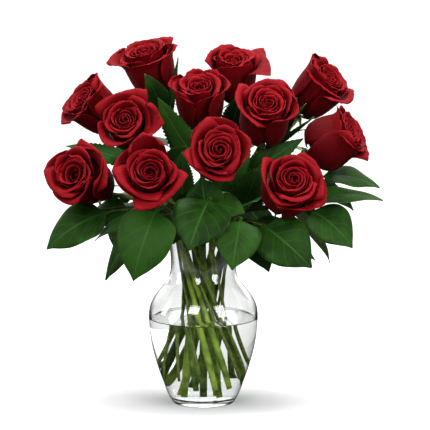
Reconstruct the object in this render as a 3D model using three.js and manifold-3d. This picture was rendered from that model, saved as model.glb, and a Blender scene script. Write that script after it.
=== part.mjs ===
// Twelve red garden roses and glossy salal foliage in a clear glass ginger vase, part filled with water.
// Millimetres, +Z up. The origin is the middle of the vase's flat foot, and the bouquet faces -Y.
// Angles round the vase are in degrees from +X, anticlockwise seen from above.

import * as THREE from "three";
import Module from "manifold-3d";

const wasm = await Module();
wasm.setup();

// ---------------------------------------------------------------- driving dimensions

const GAP = 0.35; // left between pieces that touch

const VASE = {
  wall: 2.8,
  floor: 6.5,
  sides: 24,
  // radius and height up the outside, from the heel of the foot to the lip
  outline: [
    [34.6, 1.6], [39.6, 10], [44.8, 24], [51.5, 43], [57.4, 66], [60.4, 90], [60, 106], [55.4, 118], [46.2, 130.5],
    [38.8, 141], [35.9, 156], [38.2, 180], [45, 203],
  ],
  foot: 31,
};
const WATER_LEVEL = 95;

const NECK = 160; // height at which the stems are gathered
const LIP = 205; // height up to which they are straight
// Every stem stands in one spiral. Seen from the neck, its foot lies this far round and this much further out
// for each SPIRAL.drop of fall, so stems that are clear of each other in the neck are clear all the way down.
const SPIRAL = { turn: 95, spread: 1.9, drop: 150, lead: 38 };

const ROSE_STEM = { radius: 3.1, sides: 6, rise: 4 };
const SALAL_STEM = { radius: 1.7, sides: 5, rise: 4 };

// The bloom's cup, along its own axis from the base of the petals.
const BLOOM = {
  petals: 21, // in a full bloom, numbered from the outermost
  loose: 5, // of them that stand apart from the coil in the heart
  goldenAngle: 137.5,
  rootRadius: 3,
  height: 56, // from the root to the middle of the opening
  thickness: 0.8,
};
const RECEPTACLE = [[0, -1], [16, 0], [19.5, 8], [0, 10]]; // the solid the petals grow from: radius and height
const COIL = { turns: 2.5, steps: 14, outer: 15.5, inner: 3, root: 7, rim: 54, dip: 6 };
const CALYX = [[-9, 3.2], [-5.6, 5.8], [-1.6, 5.8]]; // height on the bloom's axis and radius
const SEPAL = { count: 5, length: 23, width: 6.5, thickness: 0.9 };

// at: middle of the opening. tilt: lean from upright. turn: which way it leans, 0 to the front and 90 to the right.
// open: how far the outer petals have turned down. sunk: how far the heart lies below the rim. size: against a bloom
// 76 mm across. slim, belly and wide: the shape of the cup. own: what single loose petals have for themselves.
// neck: [distance from the vase's axis, angle] where the stem passes the neck, before the spiral's lead.
// Each leaf is [share of the way up from the lip of the vase, tip, width, direction its face looks].
const ROSES = [
  { at: [-67, 52, 391], tilt: 26, turn: -38, open: 0.9, slim: 0.55, size: 1.12, spin: 20, neck: [21, 128], own: {
    1: { turn: 178, flare: 24, lean: 70, halfWidth: 62, corner: 1.2 },
    0: { turn: -6, flare: 17, lean: 34, roll: 130, halfWidth: 60, corner: 1.4 },
  }, leaves: [
    [0.86, [-64, 14, 366], 30, [0.1, -0.95, 0.3]],
    [0.6, [-92, 108, 292], 32, [-0.2, 0.3, 0.9]],
    [0.8, [-28, 32, 383], 8, [0, -1, 0.2]],
  ] },
  { at: [-136, 28, 340], tilt: 50, turn: -60, open: 0.85, slim: 0.5, size: 1.04, spin: 75, neck: [21, 160], own: {
    0: { turn: 6, flare: 23, lean: 16, roll: 40, halfWidth: 52, corner: 2 },
    1: { turn: 200, flare: 18, lean: 62, corner: 1.6 },
    2: { turn: -32, flare: 24, lean: 54, halfWidth: 56, corner: 1.6 },
    3: { turn: 150, flare: 17, lean: 56, halfWidth: 60, corner: 1.6 },
  }, leaves: [
    [0.45, [-152, 4, 288], 32, [0, -0.6, 0.8]],
    [0.62, [-140, 72, 268], 32, [-0.3, 0.2, 0.9]],
  ] },
  { at: [-5, -8, 357], tilt: 34, turn: -3, open: 0.1, sunk: 4, slim: 0.35, size: 1.1, spin: 140, neck: [0, 0], own: {
    0: { turn: -12, flare: 17, lean: 26, lip: 7, roll: 140, halfWidth: 60, corner: 1.4 },
    1: { turn: 190, flare: 15, lean: 24, corner: 1.2 },
  }, leaves: [
    [0.6, [-50, 0, 341], 32, [-0.4, -0.8, 0.3]],
  ] },
  { at: [34, 62, 382], tilt: 22, turn: 1, open: 0.1, sunk: 5, slim: 0.35, size: 1.03, spin: 10, neck: [11, 80], own: {
    0: { turn: 0, flare: 15, lean: 94, lip: 12, roll: 120, halfWidth: 66, corner: -1.4 },
  }, leaves: [
    [0.72, [66, 118, 312], 32, [0.1, 0.4, 0.9]],
    [0.55, [6, 118, 262], 32, [0, 0.4, 0.9]],
    [0.62, [44, 34, 346], 30, [0, -1, 0.1]],
  ] },
  { at: [143, 40, 361], tilt: 46, turn: 55, open: 0.55, slim: 0.4, size: 1.08, spin: 200, neck: [21, 32], own: {
    0: { turn: 178, flare: 23, lean: 22, roll: 30, halfWidth: 50, corner: 2 },
    2: { turn: 212, flare: 22, lean: 44, roll: 40, halfWidth: 52, corner: 1.8 },
  }, leaves: [
    [0.7, [140, 98, 298], 32, [0.4, 0.3, 0.85]],
    [0.62, [114, 8, 334], 8, [0, -1, 0.2]],
    [0.56, [122, 0, 320], 7, [0.2, -1, 0.2]],
    [0.68, [104, 34, 338], 26, [0, -1, 0.1]],
  ] },
  { at: [-86, -38, 322], tilt: 62, turn: -10, open: 0.65, size: 1.03, spin: 322, neck: [11, 184], own: {
    0: { turn: 342, flare: 30, lean: 66, halfWidth: 54, corner: 1.8 },
    2: { turn: 236, flare: 20, lean: 46, corner: 1 },
  }, leaves: [
    [0.5, [-18, -22, 290], 32, [0.1, -1, 0.1]],
  ] },
  { at: [72, -25, 340], tilt: 46, turn: 8, open: 0.45, belly: 0.35, size: 1.13, spin: 60, neck: [11, 10], own: {
    2: { turn: 338, flare: 19, lean: 42, corner: 1.2 },
  }, leaves: [
    [0.34, [110, -7, 297], 30, [0.1, -0.8, 0.5]],
    [0.28, [100, -22, 262], 34, [0, -0.9, 0.4]],
  ] },
  { at: [164, -12, 308], tilt: 62, turn: 70, open: 0.3, belly: 0.7, wide: 1.1, size: 1.02, spin: 260, neck: [21, 0], own: {
    0: { turn: 292, flare: 17, lean: 14, roll: 40, halfWidth: 58, corner: 1.8 },
  }, leaves: [
    [0.7, [158, 44, 258], 32, [0.3, 0.3, 0.9]],
  ] },
  { at: [18, -90, 295], tilt: 66, turn: 3, open: 0.95, size: 1.08, spin: 110, neck: [11, 289], own: {
    1: { turn: 240, flare: 12, lean: 26, corner: -0.8 },
  }, leaves: [
    [0.4, [51, -10, 298], 36, [0.2, -1, 0.1]],
  ] },
  { at: [-57, -95, 273], tilt: 63, turn: -4, open: 0.9, sunk: 8, size: 1.1, spin: 170, neck: [21, 232], own: {
    2: { turn: 97, flare: 28, lean: 44, halfWidth: 58, corner: 1.6 },
  }, leaves: [
    [0.3, [-22, -44, 286], 26, [0, -1, 0.15]],
  ] },
  { at: [-143, -62, 265], tilt: 68, turn: -28, open: 0.85, sunk: 10, size: 1.14, spin: 230, neck: [21, 187], own: {
    0: { turn: 6, flare: 20, lean: 42, roll: 60, corner: 1.3 },
    3: { turn: 262, flare: 19, lean: 44, corner: 1.2 },
  }, leaves: [] },
  { at: [98, -84, 263], tilt: 60, turn: 14, open: 0.85, size: 1.12, spin: 330, neck: [21, 330], own: {
    1: { turn: 200, flank: 29, flare: 11, lean: 14 },
  }, leaves: [
    [0.42, [58, -70, 236], 30, [0, -0.8, 0.5]],
    [0.3, [60, -26, 264], 38, [0, -1, 0.1]],
  ] },
];

// Salal sprays: woody stems that leave the neck and hang over the lip, with oval leaves one after the other.
// end: where the stem stops. Each leaf is [share of the way up from the neck, tip, width, direction its face looks].
const SPRAYS = [
  { end: [-102, -32, 220], neck: [26, 204], leaves: [
    [1, [-171, -40, 179], 50, [-0.2, -0.75, 0.6]],
    [0.72, [-128, -6, 204], 34, [0.1, -0.8, 0.6]],
    [0.6, [-142, 29, 193], 40, [-0.3, 0.2, 0.9]],
  ] },
  { end: [-48, -66, 231], neck: [26, 224], leaves: [
    [1, [-75, -90, 152], 62, [-0.15, -0.9, 0.4]],
    [0.35, [-32, -74, 190], 44, [0, -0.8, 0.5]],
    [0.8, [-106, -55, 147], 34, [-0.5, -0.75, 0.4]],
    [0.5, [-119, -34, 188], 26, [-0.3, -0.5, 0.8]],
  ] },
  { end: [8, -58, 238], neck: [26, 262], leaves: [
    [1, [-15, -100, 187], 62, [0, -0.8, 0.6]],
    [0.5, [46, -62, 222], 40, [0, -0.6, 0.8]],
    [0.3, [-2, -38, 258], 42, [0, -1, 0.1]],
  ] },
  { end: [41, -64, 217], neck: [26, 299], leaves: [
    [1, [31, -102, 166], 50, [0.05, -0.9, 0.42]],
  ] },
  { end: [65, -42, 206], neck: [26, 316], leaves: [
    [1, [117, -80, 165], 58, [-0.25, -0.75, 0.6]],
    [0.6, [122, -46, 168], 40, [0.5, -0.6, 0.6]],
    [0.4, [72, -48, 155], 42, [0.3, -0.85, 0.4]],
  ] },
  { end: [118, -12, 219], neck: [26, 350], leaves: [
    [1, [163, -38, 180], 54, [0.25, -0.75, 0.6]],
    [0.8, [199, -2, 228], 36, [0.15, -0.35, 0.93]],
  ] },
  { end: [130, 24, 250], neck: [26, 12], leaves: [
    [1, [196, 12, 240], 38, [0.1, -0.45, 0.9]],
    [0.7, [170, 60, 208], 44, [0.4, 0.5, 0.75]],
  ] },
];

// The back of the bouquet is closed by sprays set round it by rule.
const BACK_SPRAYS = {
  angles: [37, 71, 105, 139],
  reach: 108,
  height: 222,
  leafLength: 74,
  leafWidth: 50,
};

// ---------------------------------------------------------------- solids from meshes

function solidOf(positions, triangles) {
  return new wasm.Manifold(
    new wasm.Mesh({
      numProp: 3,
      vertProperties: new Float32Array(positions.flatMap((p) => [p.x, p.y, p.z])),
      triVerts: new Uint32Array(triangles.flat()),
    }),
  );
}

function fuse(solids) {
  return solids.reduce((whole, next) => whole.add(next));
}

// What the knife leaves loose is dropped, so that a node stays one body.
function largest(solid) {
  const bodies = solid.decompose();
  return bodies.reduce((best, next) => (next.volume() > best.volume() ? next : best));
}

function meshOf(name, solid, material) {
  const { vertProperties, triVerts } = solid.simplify(0.15).getMesh();
  const geometry = new THREE.BufferGeometry()
    .setAttribute("position", new THREE.BufferAttribute(new Float32Array(vertProperties), 3))
    .setIndex(new THREE.BufferAttribute(new Uint32Array(triVerts), 1));
  geometry.computeVertexNormals();
  const mesh = new THREE.Mesh(geometry, material);
  mesh.name = name;
  return mesh;
}

// Turns an outline of [radius, height], from axis to axis and anticlockwise, about Z.
function turned(outline, sides) {
  const rings = outline.map(([radius, height]) => {
    if (radius === 0) return [new THREE.Vector3(0, 0, height)];
    return Array.from({ length: sides }, (_, i) => {
      const angle = (2 * Math.PI * i) / sides;
      return new THREE.Vector3(radius * Math.cos(angle), radius * Math.sin(angle), height);
    });
  });
  return loft(rings);
}

// Joins rings of points one to the next. A ring of one point is an end, and a full ring at an end is capped.
function loft(rings) {
  const points = rings.flat();
  const starts = rings.map((_, i) => rings.slice(0, i).reduce((n, ring) => n + ring.length, 0));
  const triangles = [];
  for (let k = 0; k + 1 < rings.length; k++) {
    const count = Math.max(rings[k].length, rings[k + 1].length);
    for (let i = 0; i < count; i++) {
      const j = (i + 1) % count;
      const low = rings[k].length === 1 ? [starts[k], starts[k]] : [starts[k] + i, starts[k] + j];
      const high = rings[k + 1].length === 1 ? [starts[k + 1], starts[k + 1]] : [starts[k + 1] + i, starts[k + 1] + j];
      if (low[0] !== low[1]) triangles.push([low[0], low[1], high[0]]);
      if (high[0] !== high[1]) triangles.push([low[1], high[1], high[0]]);
    }
  }
  const first = rings[0];
  const last = rings[rings.length - 1];
  for (let i = 1; i + 1 < first.length; i++) triangles.push([starts[0], starts[0] + i + 1, starts[0] + i]);
  const top = starts[rings.length - 1];
  for (let i = 1; i + 1 < last.length; i++) triangles.push([top, top + i, top + i + 1]);
  return solidOf(points, triangles);
}

// A round bar through a list of [point, direction, radius]. "across" is a direction that the bar never runs along.
function bar(stations, sides, across) {
  const rings = stations.map(([point, along, radius]) => {
    const right = across.clone().addScaledVector(along, -across.dot(along)).normalize();
    const up = along.clone().cross(right);
    return Array.from({ length: sides }, (_, k) => {
      const angle = (2 * Math.PI * k) / sides;
      return point
        .clone()
        .addScaledVector(right, radius * Math.cos(angle))
        .addScaledVector(up, radius * Math.sin(angle));
    });
  });
  return loft(rings);
}

// A thin blade from a grid of points, rows[k][i]: one face on each side of it, closed round the edge.
function blade(rows, thickness) {
  const down = rows.length;
  const over = rows[0].length;
  const at = (k, i) => rows[Math.min(Math.max(k, 0), down - 1)][Math.min(Math.max(i, 0), over - 1)];
  const faces = [1, -1].map((side) =>
    rows.flatMap((row, k) =>
      row.map((point, i) => {
        const alongRow = at(k, i + 1).clone().sub(at(k, i - 1));
        const alongRows = at(k + 1, i).clone().sub(at(k - 1, i));
        const normal = alongRow.cross(alongRows).normalize();
        return point.clone().addScaledVector(normal, (side * thickness) / 2);
      }),
    ),
  );
  const under = down * over;
  const triangles = [];
  for (let k = 0; k + 1 < down; k++) {
    for (let i = 0; i + 1 < over; i++) {
      const [a, b, c, d] = [k * over + i, k * over + i + 1, (k + 1) * over + i + 1, (k + 1) * over + i];
      triangles.push([a, b, c], [a, c, d]);
      triangles.push([under + a, under + c, under + b], [under + a, under + d, under + c]);
    }
  }
  const edge = [];
  for (let i = 0; i < over - 1; i++) edge.push(i);
  for (let k = 0; k < down - 1; k++) edge.push(k * over + over - 1);
  for (let i = over - 1; i > 0; i--) edge.push((down - 1) * over + i);
  for (let k = down - 1; k > 0; k--) edge.push(k * over);
  edge.forEach((a, n) => {
    const b = edge[(n + 1) % edge.length];
    triangles.push([a, under + b, b], [a, under + a, under + b]);
  });
  return solidOf(faces.flat(), triangles);
}

// ---------------------------------------------------------------- places and directions

const UP = new THREE.Vector3(0, 0, 1);
const radians = THREE.MathUtils.degToRad;
const vector = (xyz) => new THREE.Vector3(...xyz);

function onCircle(radius, angle, height) {
  return new THREE.Vector3(radius * Math.cos(radians(angle)), radius * Math.sin(radians(angle)), height);
}

function bloomAxis({ tilt, turn }) {
  const lean = Math.sin(radians(tilt));
  return new THREE.Vector3(lean * Math.sin(radians(turn)), -lean * Math.cos(radians(turn)), Math.cos(radians(tilt)));
}

// The point on a bloom's axis this far up from the root of the petals.
function onBloomAxis(rose, height) {
  return vector(rose.at).addScaledVector(bloomAxis(rose), height - BLOOM.height * rose.size);
}

function bloomFrame(rose) {
  const turnToAxis = new THREE.Quaternion().setFromUnitVectors(UP, bloomAxis(rose));
  return new THREE.Matrix4().compose(onBloomAxis(rose, 0), turnToAxis, new THREE.Vector3(1, 1, 1));
}

// ---------------------------------------------------------------- vase and water

function outerRadius(height) {
  const above = VASE.outline.findIndex((point) => point[1] >= height);
  if (above <= 0) return VASE.outline.at(above < 0 ? -1 : 0)[0];
  const [[lowRadius, low], [highRadius, high]] = VASE.outline.slice(above - 1, above + 1);
  return THREE.MathUtils.mapLinear(height, low, high, lowRadius, highRadius);
}

function innerRadius(height) {
  return outerRadius(height) - VASE.wall;
}

// Outline points of the inside that lie between two heights, from the lowest.
function insideOutline(from, to, clearance) {
  return VASE.outline
    .filter(([, height]) => height > from && height < to)
    .map(([radius, height]) => [radius - VASE.wall - clearance, height]);
}

function makeVase() {
  return turned(
    [
      [0, 0],
      [VASE.foot, 0],
      ...VASE.outline,
      ...insideOutline(VASE.floor + 2, Infinity, 0).reverse(),
      [innerRadius(VASE.floor) - 4, VASE.floor],
      [0, VASE.floor],
    ],
    VASE.sides,
  );
}

// The water stands in the vase with plain holes for the stems.
function makeWater(holes) {
  const body = turned(
    [
      [0, VASE.floor + GAP],
      [innerRadius(VASE.floor) - 4 - GAP, VASE.floor + GAP],
      ...insideOutline(VASE.floor + 2, WATER_LEVEL - 1, 0.2 + GAP),
      [innerRadius(WATER_LEVEL) - GAP, WATER_LEVEL],
      [0, WATER_LEVEL],
    ],
    VASE.sides,
  );
  return largest(body.subtract(fuse(holes)));
}

// ---------------------------------------------------------------- stems

// A stem stands straight from its foot to the lip of the vase, and from there curves up to "head", which it meets
// along "axis".
function stemLine(neck, head, axis, radius) {
  const [distance, angle] = neck;
  const gathered = onCircle(distance, angle + SPIRAL.lead, NECK);
  const spread = onCircle(distance * SPIRAL.spread, angle + SPIRAL.lead + SPIRAL.turn, NECK - SPIRAL.drop);
  const up = gathered.clone().sub(spread).normalize();
  const clearance = radius * 1.15 + 0.5;
  const foot = gathered.clone();
  while (foot.z - clearance > VASE.floor && Math.hypot(foot.x, foot.y) + clearance < innerRadius(foot.z)) {
    foot.addScaledVector(up, -0.5);
  }
  foot.addScaledVector(up, 0.5);
  const lip = gathered.clone().addScaledVector(up, (LIP - NECK) / up.z);
  const reach = lip.distanceTo(head);
  const rise = new THREE.CubicBezierCurve3(
    lip,
    lip.clone().addScaledVector(up, 0.33 * reach),
    head.clone().addScaledVector(axis, -0.33 * reach),
    head,
  );
  return { foot, up, lip, rise };
}

// A direction square to the way the stem leans, which it never runs along.
function acrossOf(head) {
  return new THREE.Vector3(-head.y, head.x, 0).normalize();
}

// The stations of a stem from its foot to its head.
function stemStations(line, form) {
  const curved = Array.from({ length: form.rise }, (_, i) => {
    const share = (i + 1) / form.rise;
    return [line.rise.getPoint(share), line.rise.getTangent(share), form.radius * (1 - 0.2 * share)];
  });
  return [[line.foot, line.up, form.radius], [line.lip, line.up, form.radius], ...curved];
}

function holeFor(line, form, head) {
  const start = line.foot.clone().addScaledVector(line.up, -GAP);
  return bar([[start, line.up, form.radius + GAP], [line.lip, line.up, form.radius + GAP]], form.sides, acrossOf(head));
}

// ---------------------------------------------------------------- leaves

// share of the way along the leaf, and its width there as a share of the widest
const SALAL_LEAF = [[0, 0.06], [0.1, 0.08], [0.34, 0.98], [0.7, 0.78], [1, 0.02]];
const ROSE_LEAF = [[0, 0.05], [0.28, 1], [0.66, 0.85], [1, 0.03]];

// A leaf from "base" to "tip", arched up from the straight line between them and folded up along its rib.
function leaf(outline, base, tip, width, face, { thickness = 0.8, arch = 0.12, fold = 0.16, columns = [-1, 0, 1] } = {}) {
  const length = base.distanceTo(tip);
  const along = tip.clone().sub(base).normalize();
  const upward = face.clone().addScaledVector(along, -face.dot(along)).normalize();
  const middle = base.clone().lerp(tip, 0.5).addScaledVector(upward, 2 * arch * length);
  const rib = new THREE.QuadraticBezierCurve3(base, middle, tip);
  const side = along.clone().cross(upward);
  const rows = outline.map(([share, across]) => {
    const centre = rib.getPoint(share);
    const lift = rib.getTangent(share).cross(side).negate();
    return columns.map((edge) =>
      centre
        .clone()
        .addScaledVector(side, (edge * across * width) / 2)
        .addScaledVector(lift, (Math.abs(edge) * fold * across * width) / 2),
    );
  });
  return blade(rows, thickness);
}

function makeLeaves(outline, line, leaves, arch) {
  return leaves.map(([share, tip, width, face]) =>
    leaf(outline, line.rise.getPoint(share * 0.98), vector(tip), width, vector(face), { arch }),
  );
}

// ---------------------------------------------------------------- roses

// The sizes and angles of loose petal "number" of a bloom: 0 is the outermost.
function petalForm(number, { spin, open, size, slim = 0, belly = 0, wide = 1, own = {} }) {
  const place = 1 - number / (BLOOM.petals - 1); // 0 in the heart, 1 at the outside
  return {
    slim,
    belly,
    turn: spin + number * BLOOM.goldenAngle,
    halfWidth: 74 + 46 * (1 - place) ** 1.5, // angle from the rib to either edge
    root: 2 * number,
    flank: size * (25.5 * wide - 1.6 * number), // radius of the cup
    shoulder: size * (45 - (2 + 8 * open) * place ** 4), // height where it starts to flare
    flare: size * (11 + 5 * open - number), // length of the flare, and the angle out of upright it ends at
    lean: 12 + 58 * open * place ** 3,
    lip: size * 5, // length of the lip, and how far round it rolls
    roll: 70 + 40 * open,
    corner: number % 2 === 0 ? 1 : -1, // over 0 the rim stands in a point at the rib, below it is folded straight across
    ...own[number],
  };
}

// Goes on from [out, up] along a steady bend, headed "from" degrees out of upright at first and "to" at the end.
function bend([out, up], from, to, length) {
  const radius = length / (radians(to - from) || 1e-6);
  const [start, end] = [radians(from), radians(to)];
  return [out + radius * (Math.cos(start) - Math.cos(end)), up + radius * (Math.sin(end) - Math.sin(start))];
}

// A point of a petal in its bloom's frame. "across" runs from -1 to 1 over the petal, and "station" up it: the root
// is 0, the end of the bowl 1, the end of the flare 2 and the rim 3.
function petalPoint(form, across, station) {
  const { root, flank, shoulder, slim, belly, corner } = form;
  const edge = Math.abs(across);
  const height = station / 3;
  const reach = station * (1 - 0.2 * edge ** 3);
  const bowl = new THREE.CubicBezierCurve(
    new THREE.Vector2(BLOOM.rootRadius, root),
    new THREE.Vector2(BLOOM.rootRadius + (0.8 + 0.5 * belly - 0.45 * slim) * flank, root),
    new THREE.Vector2(flank * (1 + 0.28 * belly - 0.2 * slim), root + (0.3 + 0.25 * belly + 0.12 * slim) * shoulder),
    new THREE.Vector2(flank * (1 - 0.06 * belly), shoulder),
  ).getPoint(Math.min(reach, 1));
  const flared = Math.min(Math.max(reach - 1, 0), 1);
  const lean = form.lean * flared;
  const section = bend([bowl.x, bowl.y], 0, lean, form.flare * flared);
  const rolled = Math.max(reach - 2, 0);
  const roll = form.roll * (corner > 0 ? 0.6 + 0.8 * edge : 1 + 0.4 * edge ** 2) * rolled;
  const [out, up] = bend(section, lean, lean + roll, form.lip * rolled);
  const folded = 1 - 0.2 * corner * (corner > 0 ? edge : edge ** 2) * height ** 3;
  const spread = form.halfWidth * (0.5 + 0.5 * Math.min(1, 2.2 * height)) * (1 - 0.32 * height ** 3);
  return onCircle(out * folded * (1 - 0.04 * across), form.turn + across * spread, up);
}

// The petals of the heart are furled so tightly that they are one sheet, wound inwards.
function makeCoil({ size, spin, sunk = 0 }) {
  const rows = [0, 1].map((top) =>
    Array.from({ length: COIL.steps + 1 }, (_, i) => {
      const inward = i / COIL.steps;
      const radius = THREE.MathUtils.lerp(COIL.outer, COIL.inner, inward) * (top ? 1 : 0.85);
      const height = top ? COIL.rim - (COIL.dip + sunk) * inward : COIL.root;
      return onCircle(size * radius, spin + 360 * COIL.turns * inward, size * height);
    }),
  );
  return blade(rows, BLOOM.thickness);
}

function makeBloom(rose) {
  const receptacle = turned(RECEPTACLE.map(([radius, height]) => [radius * rose.size, height * rose.size]), 6);
  const petals = Array.from({ length: BLOOM.loose }, (_, number) => {
    const form = petalForm(number, rose);
    const stations = number < 3 ? [0.3, 0.8, 3] : [0.4, 3];
    const rows = stations.map((station) => [-1, -0.35, 0.35, 1].map((across) => petalPoint(form, across, station)));
    return blade(rows, BLOOM.thickness);
  });
  return largest(fuse([receptacle, makeCoil(rose), ...petals]));
}

// The stem swells into the hip under the bloom, and five sepals hang from it.
function makeRoseStem(rose, line) {
  const axis = bloomAxis(rose);
  const hip = CALYX.map(([height, radius]) => [onBloomAxis(rose, height), axis, radius]);
  const stations = [...stemStations(line, ROSE_STEM).slice(0, -1), ...hip];
  const sepals = Array.from({ length: SEPAL.count }, (_, i) => {
    const angle = rose.spin + (360 * i) / SEPAL.count;
    const base = onCircle(4.2, angle, -4.4);
    const tip = onCircle(4.2 + SEPAL.length * 0.62, angle, -4.4 - SEPAL.length * 0.68);
    const form = { thickness: SEPAL.thickness, arch: 0, fold: 0, columns: [-1, 1] };
    return leaf([[0, 1], [1, 0.12]], base, tip, SEPAL.width, UP, form).transform(bloomFrame(rose).elements);
  });
  return fuse([
    bar(stations, ROSE_STEM.sides, acrossOf(vector(rose.at))),
    ...sepals,
    ...makeLeaves(ROSE_LEAF, line, rose.leaves, 0.07),
  ]);
}

// ---------------------------------------------------------------- materials and assembly

const materials = {
  glass: new THREE.MeshStandardMaterial({ color: 0xe9efec, roughness: 0.05, transparent: true, opacity: 0.3 }),
  water: new THREE.MeshStandardMaterial({ color: 0xdfe9e6, roughness: 0.05, transparent: true, opacity: 0.3 }),
  petal: new THREE.MeshStandardMaterial({ color: 0xa3121d, roughness: 0.55, side: THREE.DoubleSide }),
  roseGreen: new THREE.MeshStandardMaterial({ color: 0x5d7f2b, roughness: 0.5 }),
  salal: new THREE.MeshStandardMaterial({ color: 0x2a5a22, roughness: 0.4 }),
};

const bouquet = new THREE.Group();
const vase = new THREE.Group();
const holes = [];
vase.add(meshOf("vase", makeVase(), materials.glass));

const two = (number) => String(number).padStart(2, "0");

ROSES.forEach((rose, i) => {
  const line = stemLine(rose.neck, onBloomAxis(rose, CALYX[0][0]), bloomAxis(rose), ROSE_STEM.radius);
  const bloom = meshOf(`rose_${two(i + 1)}_bloom`, makeBloom(rose), materials.petal);
  bloom.applyMatrix4(bloomFrame(rose));
  bouquet.add(bloom, meshOf(`rose_${two(i + 1)}_stem`, makeRoseStem(rose, line), materials.roseGreen));
  holes.push(holeFor(line, ROSE_STEM, vector(rose.at)));
});

BACK_SPRAYS.angles.forEach((angle) => {
  const end = onCircle(BACK_SPRAYS.reach, angle, BACK_SPRAYS.height);
  const leaves = [
    [1, 0, -40],
    [0.8, -11, -76],
    [0.6, 13, -16],
  ].map(([share, round, fall]) => {
    const tip = onCircle(BACK_SPRAYS.reach + BACK_SPRAYS.leafLength * 0.72, angle + round, BACK_SPRAYS.height + fall);
    const face = onCircle(0.45, angle + round, 0.85);
    return [share, tip.toArray(), BACK_SPRAYS.leafWidth, face.toArray()];
  });
  SPRAYS.push({ end: end.toArray(), neck: [26, angle], leaves });
});

SPRAYS.forEach((spray, i) => {
  const end = vector(spray.end);
  const outward = new THREE.Vector3(end.x, end.y, 0).normalize();
  const line = stemLine(spray.neck, end, outward, SALAL_STEM.radius);
  const stem = bar(stemStations(line, SALAL_STEM), SALAL_STEM.sides, acrossOf(end));
  const leaves = makeLeaves(SALAL_LEAF, line, spray.leaves, 0.12);
  bouquet.add(meshOf(`salal_spray_${two(i + 1)}`, fuse([stem, ...leaves]), materials.salal));
  holes.push(holeFor(line, SALAL_STEM, end));
});

vase.add(meshOf("water", makeWater(holes), materials.water));
bouquet.add(vase);

export default bouquet;
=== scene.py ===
"""Twelve red roses with salal foliage in a clear glass vase, half full of water.

Sizes are in millimetres, with +Z up and the bouquet facing -Y, and MM turns them into Blender's metres.
Angles round the vase are in degrees from +X, anticlockwise seen from above.
"""

import math
import random

import bmesh
import bpy
from mathutils import Matrix, Vector


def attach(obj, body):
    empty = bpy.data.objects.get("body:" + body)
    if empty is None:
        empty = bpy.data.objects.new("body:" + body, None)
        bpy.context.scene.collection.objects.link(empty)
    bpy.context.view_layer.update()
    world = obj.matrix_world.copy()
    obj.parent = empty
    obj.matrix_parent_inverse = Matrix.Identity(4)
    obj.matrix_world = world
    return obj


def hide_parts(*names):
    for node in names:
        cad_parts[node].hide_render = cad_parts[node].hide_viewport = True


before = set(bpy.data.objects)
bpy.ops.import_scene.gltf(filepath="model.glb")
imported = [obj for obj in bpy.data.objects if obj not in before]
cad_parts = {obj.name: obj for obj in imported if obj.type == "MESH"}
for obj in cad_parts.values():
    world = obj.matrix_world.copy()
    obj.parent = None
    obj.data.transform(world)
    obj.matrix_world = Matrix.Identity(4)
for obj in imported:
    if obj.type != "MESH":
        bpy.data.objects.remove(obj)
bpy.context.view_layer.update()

# ---- vase
# A ginger vase of clear soda-lime glass, blown in a mould: thick foot, full shoulder, drawn-in neck, and a
# flared lip, fire-polished round. It stands loose on its foot and carries everything else.

MM = 0.001
VASE_WALL = 2.8
VASE_FLOOR = 6.5
# radius and height up the outside, from the heel of the foot to the lip
VASE_OUTLINE = [
    (34.6, 1.6), (39.6, 10), (44.8, 24), (51.5, 43), (57.4, 66), (60.4, 90), (60, 106), (55.4, 118),
    (46.2, 130.5), (38.8, 141), (35.9, 156), (38.2, 180), (45, 203),
]
# the same along the hollow underside, from the middle to the heel
FOOT = [(0, 1.8), (12, 1.7), (22, 1.2), (26.5, 0.4), (29, 0), (32, 0), (33.6, 0.5)]
# and down the inside, where the wall rounds into the floor
WELL_TOP = 22
WELL = [(41.2, WELL_TOP), (37.2, 13.5), (32.5, 8.6), (24, 6.8), (12, VASE_FLOOR), (0, VASE_FLOOR)]
LIP_START = 201.4
LIP_MIDDLE, LIP_ROUND = (43.55, 201.58), 1.42
VASE_STEPS = 128


def smooth_line(points, steps):
    """A smooth line through the points, in so many steps from each to the next."""
    ends = [points[0], *points, points[-1]]
    line = []
    for p0, p1, p2, p3 in zip(ends, ends[1:], ends[2:], ends[3:]):
        for step in range(steps):
            t = step / steps
            line.append(tuple(
                0.5 * (2 * b + (c - a) * t
                       + (2 * a - 5 * b + 4 * c - d) * t**2
                       + (3 * b - a - 3 * c + d) * t**3)
                for a, b, c, d in zip(p0, p1, p2, p3)
            ))
    return [*line, tuple(points[-1])]


def turned(outline, steps):
    """A mesh from an outline of radius and height, turned about the vase's axis."""
    bm = bmesh.new()
    points = [bm.verts.new((radius * MM, 0, height * MM)) for radius, height in outline]
    edges = [bm.edges.new(pair) for pair in zip(points, points[1:])]
    bmesh.ops.spin(bm, geom=points + edges, axis=(0, 0, 1), angle=math.tau, steps=steps, use_merge=True)
    bmesh.ops.remove_doubles(bm, verts=bm.verts[:], dist=0.005 * MM)
    bmesh.ops.recalc_face_normals(bm, faces=bm.faces[:])
    return bm


def add_piece(name, bm, materials, cad_node):
    """Makes the mesh a piece that rides on the body and stands for its CAD node."""
    mesh = bpy.data.meshes.new(name)
    bm.to_mesh(mesh)
    bm.free()
    mesh.shade_smooth()
    for material in materials:
        mesh.materials.append(material)
    piece = bpy.data.objects.new(name, mesh)
    bpy.context.scene.collection.objects.link(piece)
    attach(piece, "root")
    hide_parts(cad_node)
    return piece


def colour(code):
    """An sRGB hex colour as linear red, green, blue and alpha."""
    shares = [int(code[i : i + 2], 16) / 255 for i in (0, 2, 4)]
    return (*[s / 12.92 if s <= 0.04045 else ((s + 0.055) / 1.055) ** 2.4 for s in shares], 1.0)


def new_material(name):
    material = bpy.data.materials.new(name)
    material.use_nodes = True
    material.node_tree.nodes.clear()
    return material, material.node_tree


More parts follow.
